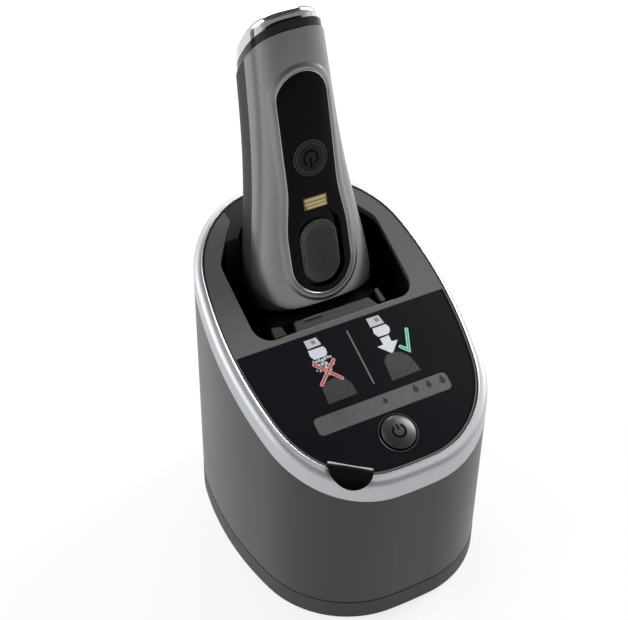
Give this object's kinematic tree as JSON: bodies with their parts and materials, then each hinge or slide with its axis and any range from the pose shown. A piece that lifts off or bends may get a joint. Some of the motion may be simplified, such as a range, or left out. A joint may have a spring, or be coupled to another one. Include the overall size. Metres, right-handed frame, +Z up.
{
  "type": "shaver cleaning station",
  "caption": "Oval cleaning station with a sloping top, clean button and fluid cartridge, and a foil shaver docked head down in its well.",
  "frame": {"origin": "middle of the oval plan outline, on the plane of the feet's undersides", "axes": "+Z up; the front with the clean button faces -Y; +X is to the right seen from the front"},
  "size_m": [0.1142, 0.1435, 0.2448],
  "materials": {
    "dark_satin": "satin moulded",
    "dark_matte": "fine matte",
    "silver_paint": "satin silver",
    "black_gloss": "polished",
    "black_matte": "matte",
    "film": "printed film",
    "smoke_window": "translucent grey",
    "button_grey": "satin",
    "shell_silver": "metallic paint",
    "grip_rubber": "grained",
    "chrome": "polished",
    "foil_steel": "fine",
    "steel": "bright",
    "gold": "gold plated",
    "tank_plastic": "translucent blue",
    "lid_plastic": "satin",
    "foam": "open cell",
    "seal_rubber": "soft",
    "board": "solder mask",
    "led": "clear lens",
    "battery_wrap": "shrink wrap"
  },
  "bodies": {
    "base": {"base_tray": "dark_matte", "rubber_feet": "seal_rubber", "guide_columns": "steel", "column_screws": "steel", "lift_springs": "steel"},
    "cartridge": {"cartridge_tank": "tank_plastic", "cartridge_lid": "lid_plastic", "cartridge_filter": "foam", "intake_tube": "lid_plastic", "port_seals": "seal_rubber"},
    "housing": {"outer_sleeve": "dark_satin", "trim_ring": "silver_paint", "collar": "dark_matte", "front_panel": "black_gloss", "protective_film": "film", "pull_tab": "film", "indicator_window": "smoke_window", "button_bezel": "dark_matte", "circuit_board": "board", "indicator_leds": "led", "clean_switch": "lid_plastic", "well_basin": "black_matte", "well_ledge": "dark_matte", "contact_carrier": "black_matte", "contact_pins": "gold", "inner_frame": "black_matte", "pump_motor": "steel", "pump_head": "black_matte", "suction_pipe": "lid_plastic", "delivery_pipe": "lid_plastic", "face_seals": "seal_rubber", "frame_screws": "steel", "power_inlet": "black_matte"},
    "clean_button": {"clean_button": "button_grey"},
    "lift_button": {"lift_button": "dark_satin", "latch_plate": "steel"},
    "shaver": {"front_shell": "shell_silver", "back_shell": "grip_rubber", "charging_contacts": "gold", "inlay": "black_gloss", "tail_ring": "black_gloss", "end_cap": "chrome", "shaver_chassis": "black_matte", "shaver_board": "board", "battery": "battery_wrap", "drive_motor": "steel", "neck_stem": "black_matte", "head_axle": "foil_steel"},
    "power_button": {"power_button": "black_gloss"},
    "head_lock": {"head_lock_pad": "grip_rubber"},
    "head": {"head_frame": "black_matte", "foil_frame": "black_matte", "shaving_foils": "foil_steel", "middle_trimmer": "foil_steel"},
    "cutters": {"cutter_blocks": "foil_steel"},
    "release_left": {"release_button_left": "black_matte"},
    "release_right": {"release_button_right": "black_matte"},
    "trimmer": {"trimmer_slide": "black_matte"}
  },
  "joints": [
    {"name": "housing_lift", "type": "slide", "parent": "base", "child": "housing", "axis": [0, 0, 1], "range_m": [0, 0.028]},
    {"name": "cartridge_slide", "type": "slide", "parent": "base", "child": "cartridge", "axis": [0, 1, 0], "range_m": [0, 0.12]},
    {"name": "clean_press", "type": "slide", "parent": "housing", "child": "clean_button", "axis": [0, 0.4057, -0.914], "range_m": [0, 0.0012], "stiffness_N_per_m": 400},
    {"name": "lift_press", "type": "slide", "parent": "housing", "child": "lift_button", "axis": [0, -1, 0], "range_m": [0, 0.0025], "stiffness_N_per_m": 500},
    {"name": "shaver_lift_out", "type": "slide", "parent": "housing", "child": "shaver", "axis": [0, 0.2453, 0.9694], "range_m": [0, 0.12]},
    {"name": "power_press", "type": "slide", "parent": "shaver", "child": "power_button", "axis": [0, 0.9694, -0.2453], "range_m": [0, 0.0006], "stiffness_N_per_m": 400},
    {"name": "head_lock_slide", "type": "slide", "parent": "shaver", "child": "head_lock", "axis": [0, 0.2453, 0.9694], "range_m": [0, 0.003]},
    {"name": "head_swivel", "type": "hinge", "parent": "shaver", "child": "head", "pos_m": [0, 0.02777, 0.10639], "axis": [1, 0, 0], "range_deg": [-12, 12], "stiffness_Nm_per_rad": 0.3},
    {"name": "cutter_stroke", "type": "slide", "parent": "head", "child": "cutters", "axis": [1, 0, 0], "range_m": [-0.001, 0.001], "stiffness_N_per_m": 300},
    {"name": "release_press_left", "type": "slide", "parent": "head", "child": "release_left", "axis": [1, 0, 0], "range_m": [0, 0.001], "stiffness_N_per_m": 400},
    {"name": "release_press_right", "type": "slide", "parent": "head", "child": "release_right", "axis": [-1, 0, 0], "range_m": [0, 0.001], "stiffness_N_per_m": 400},
    {"name": "trimmer_extend", "type": "slide", "parent": "shaver", "child": "trimmer", "axis": [0, -0.2453, -0.9694], "range_m": [0, 0.009]}
  ]
}
